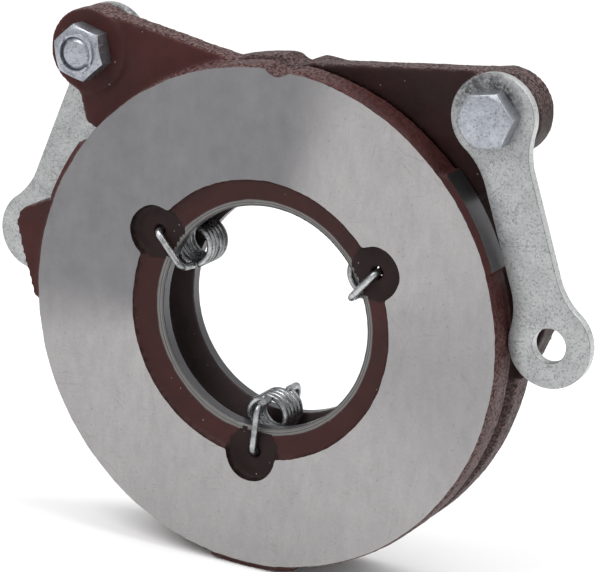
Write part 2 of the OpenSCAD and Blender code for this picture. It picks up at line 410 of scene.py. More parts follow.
class Dressing:
    """A material while it is put together: its nodes, with short calls to add and mix them."""

    def __init__(self, name: str) -> None:
        """Makes a material with one Principled shader.

        Args:
            name: Name of the material.
        """
        self.material = bpy.data.materials.new(name)
        self.material.use_nodes = True
        self.tree = self.material.node_tree
        self.shader = self.tree.nodes["Principled BSDF"]
        self.place = self.add("ShaderNodeTexCoord", {}).outputs["Object"]

    def add(self, kind: str, links: dict, **settings) -> bpy.types.Node:
        """Adds a node to the material and feeds it.

        Args:
            kind: Type of the node.
            links: Input socket, by name or number, to an output socket or a fixed value.
            **settings: Properties of the node.

        Returns:
            The new node.
        """
        return add_node(self.tree, kind, links, **settings)

    def stretch(self, across: float, along: float, up: float) -> bpy.types.NodeSocket:
        """Scales Object coordinates.

        Args:
            across: Scale along X.
            along: Scale along Y, the disc axis.
            up: Scale along Z.

        Returns:
            The scaled coordinates.
        """
        return self.add("ShaderNodeVectorMath", {0: self.place, 1: (across, along, up)},
            operation="MULTIPLY").outputs[0]

    def effect(self, group: bpy.types.NodeTree, vector: bpy.types.NodeSocket | None = None,
            **values: float) -> bpy.types.Node:
        """Places a node group on coordinates.

        Args:
            group: The node group.
            vector: Coordinates, or None for Object coordinates.
            **values: Numbers for its inputs.

        Returns:
            The group's node.
        """
        node = self.add("ShaderNodeGroup", {}, node_tree=group)
        self.tree.links.new(vector or self.place, node.inputs["Vector"])
        for title, value in values.items():
            node.inputs[title].default_value = value
        return node

    def radius(self) -> bpy.types.NodeSocket:
        """Distance from the disc axis.

        Returns:
            The distance in metres.
        """
        flat = self.stretch(1.0, 0.0, 1.0)
        return self.add("ShaderNodeVectorMath", {0: flat}, operation="LENGTH").outputs["Value"]

    def wedge(self, clock: float, half_width: float, fade: float, share: float) -> bpy.types.NodeSocket:
        """A wedge round the disc axis with soft sides.

        Args:
            clock: Middle of the wedge in degrees from straight up, positive towards -X.
            half_width: Half of its width in degrees.
            fade: Half of the width of its soft sides in degrees.
            share: Its strength.

        Returns:
            Value from 0 to the share.
        """
        parts = self.add("ShaderNodeSeparateXYZ", {0: self.place})
        left = self.scaled(parts.outputs["X"], -1.0)
        angle = self.add("ShaderNodeMath", {0: left, 1: parts.outputs["Z"]}, operation="ARCTAN2")
        off = self.add("ShaderNodeMath", {0: angle.outputs[0], 1: math.radians(clock)},
            operation="SUBTRACT")
        turn = self.add("ShaderNodeMath", {0: off.outputs[0], 1: math.pi, 2: -math.pi},
            operation="WRAP")
        size = self.add("ShaderNodeMath", {0: turn.outputs[0]}, operation="ABSOLUTE")
        return self.add("ShaderNodeMapRange", {"Value": size.outputs[0],
            "From Min": math.radians(half_width + fade), "From Max": math.radians(half_width - fade),
            "To Max": share}, interpolation_type="SMOOTHSTEP").outputs[0]

    def mix(self, share: bpy.types.NodeSocket, first, second) -> bpy.types.NodeSocket:
        """Mixes two colours, each a socket or three numbers.

        Args:
            share: Share of the second colour.
            first: The first colour.
            second: The second colour.

        Returns:
            The mixed colour.
        """
        node = self.add("ShaderNodeMix", {0: share}, data_type="RGBA")
        for number, colour in ((6, first), (7, second)):
            if isinstance(colour, bpy.types.NodeSocket):
                self.tree.links.new(colour, node.inputs[number])
            else:
                node.inputs[number].default_value = (*colour, 1.0)
        return node.outputs[2]

    def scaled(self, socket: bpy.types.NodeSocket, factor: float,
            plus: float = 0.0) -> bpy.types.NodeSocket:
        """Multiplies a value and adds to it.

        Args:
            socket: The value.
            factor: What it is multiplied by.
            plus: What is added afterwards.

        Returns:
            The new value.
        """
        return self.add("ShaderNodeMath", {0: socket, 1: factor, 2: plus},
            operation="MULTIPLY_ADD").outputs[0]

    def bump(self, *heights: tuple[bpy.types.NodeSocket, float]) -> None:
        """Feeds the shader's normal from heights.

        Args:
            *heights: A height from 0 to 1 and the metres that 1 stands for, from coarse to fine.
        """
        normal = None
        for height, metres in heights:
            links = {"Height": height, "Distance": metres, "Strength": 1.0}
            if normal is not None:
                links["Normal"] = normal
            normal = self.add("ShaderNodeBump", links).outputs["Normal"]
        self.tree.links.new(normal, self.shader.inputs["Normal"])

    def feed(self, **values) -> bpy.types.Material:
        """Sets or links the shader's inputs, with underscores for spaces in their names.

        Args:
            **values: Input to a socket, a number or a colour.

        Returns:
            The finished material.
        """
        for title, value in values.items():
            target = self.shader.inputs[title.replace("_", " ")]
            if isinstance(value, bpy.types.NodeSocket):
                self.tree.links.new(value, target)
            else:
                target.default_value = value
        return self.material


@dataclass(frozen=True)
class CastPaint:
    """Red-brown primer over a sand-cast skin, with a pale dusting and a painted sheen on lug edges and
    round the rim.

    The dull rim wedge is the part of the rim without the pale dusting and painted sheen. Inside
    bare_radius the paint is turned away and the iron shows in fine rings.
    """

    name: str = "cast_paint"
    deep: tuple[float, float, float] = (0.022, 0.0072, 0.0068)
    coat: tuple[float, float, float] = (0.050, 0.0135, 0.0122)
    pale_dust_and_sheen: tuple[float, float, float] = (0.19, 0.128, 0.124)
    bare: tuple[float, float, float] = (0.42, 0.38, 0.36)
    grain_size: float = 1.0
    grain_depth: float = 0.00022
    dust_and_sheen: float = 0.75
    chip_share: float = 0.012
    rim_radius: float = 0.092
    rim_fade: float = 0.0015
    rim_dust_and_sheen: float = 0.85
    # Wedge of the rim kept plain: no pale dusting and no painted sheen there.
    dull_rim_wedge: tuple[float, float, float, float] = (-48, 36, 14, 0.73)
    bare_radius: float = 0.0
    bare_wobble: float = 0.0016
    bare_shift: float = 0.0006
    bare_fade: float = 0.0005
    ring_scale: float = 2600.0

    def dust_and_sheen_share(self, paint: Dressing) -> bpy.types.NodeSocket:
        """Share of the rough skin with its pale dusting and painted sheen: more on lug edges that face
        up, as light falls from above, and round most of the rim.

        Args:
            paint: The material being built.

        Returns:
            Value from 0 to 1.
        """
        shape = paint.add("ShaderNodeNewGeometry", {})
        parts = paint.add("ShaderNodeSeparateXYZ", {0: shape.outputs["Normal"]})
        flat = paint.add("ShaderNodeMath", {0: parts.outputs["Y"]}, operation="ABSOLUTE")
        side = paint.add("ShaderNodeMapRange", {"Value": flat.outputs[0], "From Min": 0.9,
            "From Max": 0.5, "To Min": 0.04})
        # Faces that point up get more: a pale dusting settles there, and their lighter colour is also
        # painted light from above.
        rising_dust_and_sheen = paint.add("ShaderNodeMapRange", {"Value": parts.outputs["Z"], "From Min": -0.1,
            "From Max": 0.8, "To Min": 0.12})
        # The dull rim wedge keeps the plain coat, without painted sheen.
        rim = paint.scaled(paint.wedge(*self.dull_rim_wedge), -1.0, self.rim_dust_and_sheen)
        on_lug = paint.add("ShaderNodeMapRange", {"Value": paint.radius(),
            "From Min": self.rim_radius, "From Max": self.rim_radius + self.rim_fade})
        dust_and_sheen = paint.add("ShaderNodeMix", {0: on_lug.outputs[0], 2: rim, 3: rising_dust_and_sheen.outputs[0]},
            data_type="FLOAT")
        return paint.add("ShaderNodeMath", {0: side.outputs[0], 1: dust_and_sheen.outputs[0]},
            operation="MULTIPLY").outputs[0]

    def bare_ring(self, paint: Dressing) -> tuple[bpy.types.NodeSocket, bpy.types.NodeSocket]:
        """Iron rings inside the turned radius.

        Args:
            paint: The material being built.

        Returns:
            Share of bare iron, and the brightness of its rings, both from 0 to 1.
        """
        radius = paint.radius()
        wobble = paint.add("ShaderNodeTexNoise", {"Vector": paint.place, "Scale": 70.0})
        edge = paint.add("ShaderNodeMath", {0: wobble.outputs["Fac"], 1: self.bare_wobble,
            2: radius}, operation="MULTIPLY_ADD")
        inside = paint.add("ShaderNodeMapRange", {"Value": edge.outputs[0],
            "From Min": self.bare_radius + self.bare_shift + self.bare_fade,
            "From Max": self.bare_radius + self.bare_shift})
        rings = paint.add("ShaderNodeTexNoise", {"W": radius, "Scale": self.ring_scale, "Detail": 2.0},
            noise_dimensions="1D")
        bright = paint.add("ShaderNodeMapRange", {"Value": rings.outputs["Fac"], "From Min": 0.35,
            "From Max": 0.65})
        return inside.outputs[0], bright.outputs[0]

    def build(self, effects: Effects) -> bpy.types.Material:
        """Builds the material.

        Args:
            effects: The node groups.

        Returns:
            The material.
        """
        paint = Dressing(self.name)
        grain = paint.effect(effects.cast_grain, Size=self.grain_size)
        cloud = paint.effect(effects.mottle, Scale=38.0, Contrast=2.2)
        chips = paint.effect(effects.specks, Scale=1000.0, Share=self.chip_share, Radius=0.26)
        worn = paint.effect(effects.edge_wear, Start=0.53, Full=0.62)
        side = self.dust_and_sheen_share(paint)
        base = paint.mix(cloud.outputs["Broad"], self.deep, self.coat)
        base = paint.mix(paint.scaled(cloud.outputs["Fine"], 0.35), base, self.coat)
        high = paint.add("ShaderNodeMapRange", {"Value": grain.outputs["Height"], "From Min": -0.1,
            "From Max": 0.35, "To Max": self.dust_and_sheen})
        # Pale dusting and painted sheen on the high points of the grain.
        dust_and_sheen = paint.add("ShaderNodeMath", {0: high.outputs[0], 1: side}, operation="MULTIPLY")
        base = paint.mix(dust_and_sheen.outputs[0], base, self.pale_dust_and_sheen)
        hollow = paint.add("ShaderNodeMath", {0: grain.outputs["Hollows"], 1: side},
            operation="MULTIPLY")
        base = paint.mix(hollow.outputs[0], base, self.deep)
        base = paint.mix(paint.scaled(worn.outputs["Worn"], 0.4), base, self.pale_dust_and_sheen)
        base = paint.mix(paint.scaled(chips.outputs["Spots"], 0.5), base, self.bare)
        skin = paint.add("ShaderNodeMath", {0: grain.outputs["Height"], 1: side},
            operation="MULTIPLY")
        paint.bump((cloud.outputs["Fine"], 0.00008), (skin.outputs[0], self.grain_depth))
        rough = paint.scaled(cloud.outputs["Fine"], 0.25, 0.42)
        paint.feed(Roughness=rough, Specular_IOR_Level=0.14)
        if self.bare_radius > 0:
            inside, bright = self.bare_ring(paint)
            iron = paint.mix(bright, (0.055, 0.053, 0.053), (0.22, 0.215, 0.21))
            base = paint.mix(inside, base, iron)
            paint.feed(Metallic=paint.scaled(inside, 0.8))
        return paint.feed(Base_Color=base)


@dataclass(frozen=True)
class GroundSteel:
    """Bare ground or turned iron, with specks, light scratches and painted reflection: darker sectors
    round the axis.

    Each wedge of painted darker reflection has its clock, half width, fade and share, as Dressing.wedge
    takes them.
    """

    name: str = "ground_face"
    dark: tuple[float, float, float] = (0.140, 0.138, 0.146)
    light: tuple[float, float, float] = (0.362, 0.352, 0.350)
    roughness: float = 0.42
    reflection_wedges: tuple[tuple[float, float, float, float], ...] = ((42, 55.5, 10.5, 1.0),
        (-95, 20, 18, 0.38))
    reflection_wedge_strength: float = 1.0
    streaks: float = 0.14
    metallic: float = 0.85

    def lay(self, steel: Dressing) -> bpy.types.NodeSocket:
        """Share of the painted darker reflection: a strong wedge at one side and a faint one opposite.

        Args:
            steel: The material being built.

        Returns:
            Value from 0 to 1.
        """
        near, far = [steel.wedge(*wedge) for wedge in self.reflection_wedges]
        dull = steel.add("ShaderNodeMath", {0: near, 1: far}, operation="MAXIMUM")
        return steel.scaled(dull.outputs[0], self.reflection_wedge_strength)

    def build(self, effects: Effects) -> bpy.types.Material:
        """Builds the material.

        Args:
            effects: The node groups.

        Returns:
            The material.
        """
        steel = Dressing(self.name)
        cloud = steel.effect(effects.mottle, steel.stretch(1.0, 60.0, 0.35), Scale=45.0,
            Contrast=2.0)
        blotches = steel.effect(effects.mottle, Scale=150.0, Contrast=2.6)
        specks = steel.effect(effects.specks, Scale=560.0, Share=0.16, Radius=0.24)
        lines = steel.effect(effects.scratches, Width=0.005, Share=0.54)
        # Painted reflection: the face is darker in sectors round the axis.
        base = steel.mix(self.lay(steel), self.light, self.dark)
        dull = tuple(0.74 * channel for channel in self.light)
        base = steel.mix(steel.scaled(cloud.outputs["Broad"], 0.30), base, dull)
        base = steel.mix(steel.scaled(cloud.outputs["Fine"], self.streaks), base, self.dark)
        base = steel.mix(steel.scaled(blotches.outputs["Broad"], 0.20), base, dull)
        base = steel.mix(steel.scaled(blotches.outputs["Fine"], 0.16), base, self.dark)
        base = steel.mix(steel.scaled(specks.outputs["Spots"], 0.36), base, (0.12, 0.115, 0.11))
        base = steel.mix(steel.scaled(lines.outputs["Lines"], 0.18), base, (0.15, 0.145, 0.14))
        steel.bump((blotches.outputs["Fine"], 0.00001), (cloud.outputs["Fine"], 0.00001),
            (lines.outputs["Lines"], -0.00001))
        rough = steel.scaled(cloud.outputs["Fine"], 0.16, self.roughness - 0.08)
        return steel.feed(Base_Color=base, Roughness=rough, Metallic=self.metallic)


@dataclass(frozen=True)
class ZincPlate:
    """Zinc plating, dull on plate and bluish on fasteners, with dark specks and soot.

    The soot lies within soot_reach of its middle and fades in over soot_level, in metres. The
    outline is the painted shade on the rounded edge and the pale sheared side of a plate.
    """

    name: str = "link_zinc"
    light: tuple[float, float, float] = (0.455, 0.462, 0.464)
    dark: tuple[float, float, float] = (0.17, 0.174, 0.178)
    dirt: tuple[float, float, float] = (0.07, 0.07, 0.075)
    cut_side: tuple[float, float, float] = (0.60, 0.61, 0.61)
    roughness: float = 0.46
    patch_scale: float = 150.0
    patch_share: float = 0.4
    speck_share: float = 0.7
    soot: float = 1.0
    soot_middle: tuple[float, float, float] = (0.0755, 0.0, 0.0861)
    soot_reach: tuple[float, float] = (0.0140, 0.0100)
    soot_level: tuple[float, float] = (0.0825, 0.0895)
    outline: float = 1.0
    metallic: float = 0.8

    def soot_mask(self, zinc: Dressing) -> bpy.types.NodeSocket:
        """Where soot lies: round the upper side of the link bolts, alike on both sides.

        Args:
            zinc: The material being built.

        Returns:
            Value from 0 to 1.
        """
        parts = zinc.add("ShaderNodeSeparateXYZ", {0: zinc.place})
        side = zinc.add("ShaderNodeMath", {0: parts.outputs["X"]}, operation="ABSOLUTE")
        flat = zinc.add("ShaderNodeCombineXYZ", {0: side.outputs[0], 2: parts.outputs["Z"]})
        away = zinc.add("ShaderNodeVectorMath", {0: flat.outputs[0], 1: self.soot_middle},
            operation="DISTANCE")
        near = zinc.add("ShaderNodeMapRange", {"Value": away.outputs["Value"],
            "From Min": self.soot_reach[0], "From Max": self.soot_reach[1], "To Max": self.soot})
        high = zinc.add("ShaderNodeMapRange", {"Value": parts.outputs["Z"],
            "From Min": self.soot_level[0], "From Max": self.soot_level[1]})
        return zinc.add("ShaderNodeMath", {0: near.outputs[0], 1: high.outputs[0]},
            operation="MULTIPLY").outputs[0]

    def edges(self, zinc: Dressing) -> tuple[bpy.types.NodeSocket, bpy.types.NodeSocket]:
        """Where a plate's rounded edge, which gets painted shade, and its sheared side are, by the way
        they face.

        Args:
            zinc: The material being built.

        Returns:
            Share of the side, then share of the rounded edge, both from 0 to 1.
        """
        shape = zinc.add("ShaderNodeNewGeometry", {})
        parts = zinc.add("ShaderNodeSeparateXYZ", {0: shape.outputs["Normal"]})
        flat = zinc.add("ShaderNodeMath", {0: parts.outputs["Y"]}, operation="ABSOLUTE")
        side = zinc.add("ShaderNodeMapRange", {"Value": flat.outputs[0], "From Min": 0.35,
            "From Max": 0.2, "To Max": self.outline})
        off_face = zinc.add("ShaderNodeMapRange", {"Value": flat.outputs[0], "From Min": 0.97,
            "From Max": 0.9, "To Max": self.outline})
        edge = zinc.add("ShaderNodeMath", {0: off_face.outputs[0], 1: side.outputs[0]},
            operation="SUBTRACT", use_clamp=True)
        return side.outputs[0], edge.outputs[0]

    def build(self, effects: Effects) -> bpy.types.Material:
        """Builds the material.

        Args:
            effects: The node groups.

        Returns:
            The material.
        """
        zinc = Dressing(self.name)
        cloud = zinc.effect(effects.mottle, Scale=self.patch_scale, Contrast=2.4)
        specks = zinc.effect(effects.specks, Scale=1100.0, Share=self.speck_share, Radius=0.42)
        blots = zinc.effect(effects.specks, Scale=230.0, Share=0.09, Radius=0.15)
        soot = zinc.effect(effects.specks, Scale=1100.0, Share=0.85, Radius=0.75)
        lines = zinc.effect(effects.scratches, Width=0.008, Share=0.56)
        worn = zinc.effect(effects.edge_wear, Start=0.51, Full=0.56)
        side, edge = self.edges(zinc)
        base = zinc.mix(zinc.scaled(cloud.outputs["Broad"], self.patch_share), self.light, self.dark)
        base = zinc.mix(zinc.scaled(cloud.outputs["Fine"], 0.6), base, self.dark)
        base = zinc.mix(zinc.scaled(side, 0.7), base, self.cut_side)
        base = zinc.mix(zinc.scaled(specks.outputs["Spots"], 0.45), base, self.dirt)
        base = zinc.mix(zinc.scaled(blots.outputs["Spots"], 0.85), base, self.dirt)
        base = zinc.mix(zinc.scaled(lines.outputs["Lines"], 0.3), base, self.dirt)
        sooty = zinc.add("ShaderNodeMath", {0: zinc.scaled(soot.outputs["Spots"], 0.55, 0.45),
            1: self.soot_mask(zinc)}, operation="MULTIPLY")
        base = zinc.mix(sooty.outputs[0], base, self.dirt)
        # Painted shade: the rounded edge is darkened with the dirt colour.
        base = zinc.mix(zinc.scaled(edge, 0.6), base, self.dirt)
        base = zinc.mix(zinc.scaled(worn.outputs["Worn"], 0.3), base, self.cut_side)
        zinc.bump((cloud.outputs["Fine"], 0.00004), (lines.outputs["Lines"], -0.00002))
        rough = zinc.scaled(cloud.outputs["Broad"], 0.2, self.roughness - 0.1)
        return zinc.feed(Base_Color=base, Roughness=rough, Metallic=self.metallic)


@dataclass(frozen=True)
class DrawnWire:
    """Bright drawn spring wire with broad dark patches and dark specks."""

    name: str = "spring_wire"
    light: tuple[float, float, float] = (0.50, 0.51, 0.52)
    dark: tuple[float, float, float] = (0.06, 0.06, 0.065)

    def build(self, effects: Effects) -> bpy.types.Material:
        """Builds the material.

        Args:
            effects: The node groups.

        Returns:
            The material.
        """
        wire = Dressing(self.name)
        cloud = wire.effect(effects.mottle, Scale=140.0, Contrast=3.2)
        specks = wire.effect(effects.specks, Scale=900.0, Share=0.2, Radius=0.3)
        base = wire.mix(wire.scaled(cloud.outputs["Broad"], 0.85), self.light, self.dark)
        base = wire.mix(wire.scaled(specks.outputs["Spots"], 0.6), base, self.dark)
        wire.bump((cloud.outputs["Fine"], 0.00004))
        rough = wire.scaled(cloud.outputs["Fine"], 0.2, 0.2)
        return wire.feed(Base_Color=base, Roughness=rough, Metallic=0.95)


@dataclass(frozen=True)
class Finishes:
    """Every material of the actuator."""

    front_cast: bpy.types.Material
    rear_cast: bpy.types.Material
    bore: bpy.types.Material
    lobe: bpy.types.Material
    recess: bpy.types.Material
    ground: bpy.types.Material
    turned: bpy.types.Material
    link: bpy.types.Material
    fastener: bpy.types.Material
    wire: bpy.types.Material
    ball: bpy.types.Material

    @classmethod
    def build(cls) -> "Finishes":
        """Builds the node groups and every material.

        Returns:
            The materials.
        """
        effects = Effects.build()
        return cls(
            front_cast=CastPaint().build(effects),
            # The rear disc's paint is a darker copy of the front's: painted shade.
            rear_cast=CastPaint(name="shaded_cast_paint", deep=(0.012, 0.0062, 0.0060),
                coat=(0.024, 0.0088, 0.0084)).build(effects),
            bore=CastPaint(name="bore_paint", grain_size=2.0, grain_depth=0.00006, dust_and_sheen=0.10,
                deep=(0.020, 0.0085, 0.0080), coat=(0.043, 0.0135, 0.0125),
                bare_radius=0.0422).build(effects),
            lobe=CastPaint(name="lobe_paint", grain_size=2.0, grain_depth=0.00006, dust_and_sheen=0.05,
                deep=(0.009, 0.0048, 0.0046), coat=(0.017, 0.0076, 0.0072)).build(effects),
            recess=CastPaint(name="oily_recess", grain_size=1.5, grain_depth=0.00010, dust_and_sheen=0.05,
                deep=(0.035, 0.026, 0.026), coat=(0.065, 0.046, 0.047)).build(effects),
            ground=GroundSteel().build(effects),
            turned=GroundSteel(name="turned_land", dark=(0.055, 0.055, 0.060),
                light=(0.115, 0.113, 0.120), reflection_wedge_strength=0.2, roughness=0.38,
                streaks=0.5).build(effects),
            link=ZincPlate().build(effects),
            fastener=ZincPlate(name="fastener_zinc", light=(0.46, 0.48, 0.525),
                dark=(0.17, 0.180, 0.200), cut_side=(0.60, 0.62, 0.65), roughness=0.36,
                patch_scale=170.0, patch_share=0.6, speck_share=0.25, soot=0.0, outline=0.0,
                metallic=0.9).build(effects),
            wire=DrawnWire().build(effects),
            ball=ZincPlate(name="ball_steel", light=(0.72, 0.72, 0.74), dark=(0.60, 0.60, 0.62),
                roughness=0.18, speck_share=0.01, soot=0.0, outline=0.0,
                metallic=1.0).build(effects),
        )


# ---- cast discs ----


@dataclass
class DiscCasting:
    """One ramped disc. Heights are over the mid-plane, towards the disc's own ground face.

    The lumps are pairs of height and width in millimetres.
    """

    node: str
    side: Side
    face_height: float = 17.5 * MM
    pad_radius: float = 91.3 * MM
    lip_radius: float = 40.0 * MM
    lip_low: float = 8.8 * MM
    lip_high: float = 13.1 * MM
    bore_radius: float = 52.5 * MM
    hidden_radius: float = 84.0 * MM
    hidden_height: float = 14.0 * MM
    mating_height: float = 0.2 * MM
    bolt_x: float = 78.0 * MM
    bolt_z: float = 83.1 * MM
    boss_radius: float = 15.0 * MM
    boss_low: float = -5.0 * MM
    boss_high: float = 8.5 * MM
    lobe_circle: float = 49.3 * MM
    lobe_radius: float = 9.6 * MM
    lobe_clocks: tuple[float, ...] = (60.0, -60.0, 180.0)
    pad_clocks: tuple[tuple[float, float], ...] = ((-69.0, -46.0), (55.5, 71.0), (171.0, 192.0))
    pad_more: float = 2.0
    pad_low: float = 3.0 * MM
    relief_radius: float = 88.5 * MM
    boss_margin: float = 0.6 * MM
    seat_reach: float = 0.3 * MM
    lobe_margin: float = 0.5 * MM
    flange_margin: float = 0.4 * MM
    lumps: tuple[tuple[float, float], ...] = ((0.17, 14), (0.12, 5), (0.09, 1.9))
    shrinkage: float = 0.05
    stock: float = 0.8 * MM
    sand_cell: float = 1.0 * MM

    def height(self, point: Vector) -> float:
        """Measures a point's height over the mid-plane.

        Args:
            point: The point.

        Returns:
            Its height, positive towards this disc's ground face.
        """
        return point.y * self.side.value

    def radius(self, point: Vector) -> float:
        """Measures a point's distance from the disc axis.

        Args:
            point: The point.

        Returns:
            The distance.
        """
        return math.hypot(point.x, point.z)

    def from_bolt(self, point: Vector) -> float:
        """Measures a point's distance from the axis of this disc's link bolt.

        Args:
            point: The point.

        Returns:
            The distance.
        """
        return math.hypot(point.x - self.side.value * self.bolt_x, point.z - self.bolt_z)

    def clock(self, point: Vector) -> float:
        """Measures a point's angle round the disc axis.

        Args:
            point: The point.

        Returns:
            The angle from straight up in degrees, positive towards this disc's lug.
        """
        return math.degrees(math.atan2(point.x * self.side.value, point.z))

    def on_pad(self, point: Vector) -> bool:
        """Tells whether a point lies in the reach of a guide pad.

        Args:
            point: The point.

        Returns:
            True within a pad's angles, with a little more at both ends.
        """
        clock = self.clock(point)
        return any(low - self.pad_more < turned < high + self.pad_more
            for low, high in self.pad_clocks for turned in (clock, clock + 360))

    def in_lobe(self, point: Vector) -> bool:
        """Tells whether a point lies in the pit of a spring lobe.

        Args:
            point: The point.

        Returns:
            True within a lobe's round outline, over the flange.
        """
        if self.height(point) < self.lip_high + self.flange_margin:
            return False
        for clock in self.lobe_clocks:
            turn = math.radians(clock)
            across = point.x - self.side.value * self.lobe_circle * math.sin(turn)
            up = point.z - self.lobe_circle * math.cos(turn)
            if math.hypot(across, up) < self.lobe_radius + self.lobe_margin:
                return True
        return False

    def set_radius(self, vertex: bmesh.types.BMVert, radius: float) -> None:
        """Moves a vertex straight out or in.

        Args:
            vertex: The vertex.
            radius: Its new distance from the disc axis.
        """
        factor = radius / self.radius(vertex.co)
        vertex.co.x *= factor
        vertex.co.z *= factor

    def add_stock(self, bm: bmesh.types.BMesh) -> None:
        """Adds the metal that machining takes off later.

        Args:
            bm: The merged solid.
        """
        hair = 0.02 * MM
        for vertex in bm.verts:
            radius, height = self.radius(vertex.co), self.height(vertex.co)
            if abs(height - self.face_height) < hair:
                vertex.co.y += self.side.value * self.stock
            elif abs(radius - self.pad_radius) < hair:
                self.set_radius(vertex, radius + self.stock)
            elif abs(radius - self.lip_radius) < hair:
                self.set_radius(vertex, radius - self.stock)

    def skin_share(self, point: Vector) -> float:
        """How much of the cast skin a point gets: none where the disc is machined or hidden.

        Args:
            point: A point on the surface.

        Returns:
            Share from 0 to 1.
        """
        radius, height = self.radius(point), self.height(point)
        if self.bore_radius < radius < self.hidden_radius and height < self.hidden_height:
            return 0.0
        bolt = self.from_bolt(point)
        if bolt < self.boss_radius + self.boss_margin:
            seat = ramp(height, self.boss_low + 0.4 * MM, self.boss_low + 2 * MM)
            return seat * ramp(height, self.boss_high - 0.4 * MM, self.boss_high - 2 * MM) * ramp(
                bolt, 8 * MM, 10 * MM)
        if radius < self.relief_radius:
            return ramp(height, 0.8 * MM, 3.5 * MM)
        return 1.0

    def roughen(self, bm: bmesh.types.BMesh) -> None:
        """Gives the sand-cast skin its lumps.

        Args:
            bm: The remeshed casting.
        """
        seed = Vector((3.7, 1.9, 8.3)) * (2 + self.side.value)
        bm.normal_update()
        for vertex in bm.verts:
            share = self.skin_share(vertex.co)
            if share > 0:
                place = vertex.co * 1000
                lump = sum(size * noise.noise(place / width + seed) for size, width in self.lumps)
                vertex.co += vertex.normal * (share * (lump - self.shrinkage) * MM)

    def machine(self, bm: bmesh.types.BMesh) -> None:
        """Cuts the ground face flat and turns the pads, the lip and the bolt seats.

        Args:
            bm: The rough casting.
        """
        outward = Vector((0, self.side.value, 0))
        everything = [*bm.verts, *bm.edges, *bm.faces]
        cut = bmesh.ops.bisect_plane(bm, geom=everything, dist=0.001 * MM,
            plane_co=outward * self.face_height, plane_no=outward, clear_outer=True)
        rim = [part for part in cut["geom_cut"] if isinstance(part, bmesh.types.BMEdge)]
        bmesh.ops.triangle_fill(bm, edges=rim, use_beauty=True, normal=outward)
        for vertex in bm.verts:
            radius, height = self.radius(vertex.co), self.height(vertex.co)
            if radius < self.lip_radius:
                self.set_radius(vertex, self.lip_radius)
            elif self.pad_radius < radius < self.pad_radius + 1.5 * self.stock and (
                    height > self.pad_low and self.on_pad(vertex.co)):
                self.set_radius(vertex, self.pad_radius)
            if self.from_bolt(vertex.co) < self.boss_radius + self.boss_margin:
                for seat in (self.boss_low, self.boss_high):
                    if abs(height - seat) < self.seat_reach:
                        vertex.co.y = self.side.value * seat
            if height < self.mating_height and radius < self.relief_radius:
                vertex.co.y = self.side.value * self.mating_height

    def land_of(self, face: bmesh.types.BMFace) -> Land:
        """Which surface a face belongs to.

        Args:
            face: A face of the machined disc.

        Returns:
            Its surface.
        """
        hair = 0.01 * MM
        if all(abs(self.height(v.co) - self.face_height) < hair for v in face.verts):
            return Land.GROUND
        for turned in (self.pad_radius, self.lip_radius):
            if all(abs(self.radius(v.co) - turned) < hair for v in face.verts):
                return Land.TURNED
        centre = face.calc_center_median()
        radius, height = self.radius(centre), self.height(centre)
        if height < self.lip_low + self.seat_reach and radius < self.bore_radius:
            return Land.RECESS
        if self.in_lobe(centre):
            return Land.LOBE
        if radius < self.bore_radius:
            return Land.BORE
        return Land.CAST

    def build(self, finishes: Finishes) -> bpy.types.Object:
        """Casts, machines and dresses the disc.

        Args:
            finishes: The materials.

        Returns:
            The piece, which stands for its solid.
        """
        bm = merged_solid(self.node)
        self.add_stock(bm)
        piece = to_piece(bm, f"{self.node}_casting")
        remesh = piece.modifiers.new("sand", "REMESH")
        remesh.mode = "VOXEL"
        remesh.voxel_size = self.sand_cell
        settle(piece)
        bm = bmesh.new()
        bm.from_mesh(piece.data)
        self.roughen(bm)
        self.machine(bm)
        bmesh.ops.recalc_face_normals(bm, faces=bm.faces)
        for face in bm.faces:
            face.material_index = self.land_of(face).value
            face.smooth = face.material_index != Land.GROUND.value
        for edge in bm.edges:
            lands = {face.material_index for face in edge.link_faces}
            edge.smooth = len(lands) == 1 or not (Land.GROUND.value in lands or lands == {
                Land.CAST.value, Land.TURNED.value})
        bm.to_mesh(piece.data)
        bm.free()
        # The rear disc takes the darker copy of the paint, which is painted shade.
        cast = finishes.front_cast if self.side is Side.FRONT else finishes.rear_cast
        for material in (cast, finishes.ground, finishes.turned, finishes.bore, finishes.lobe,
                finishes.recess):
            piece.data.materials.append(material)
        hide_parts(self.node)
        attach(piece, self.node)
        log.info("%s: %d vertices", piece.name, len(piece.data.vertices))
        return piece


# ---- return springs ----


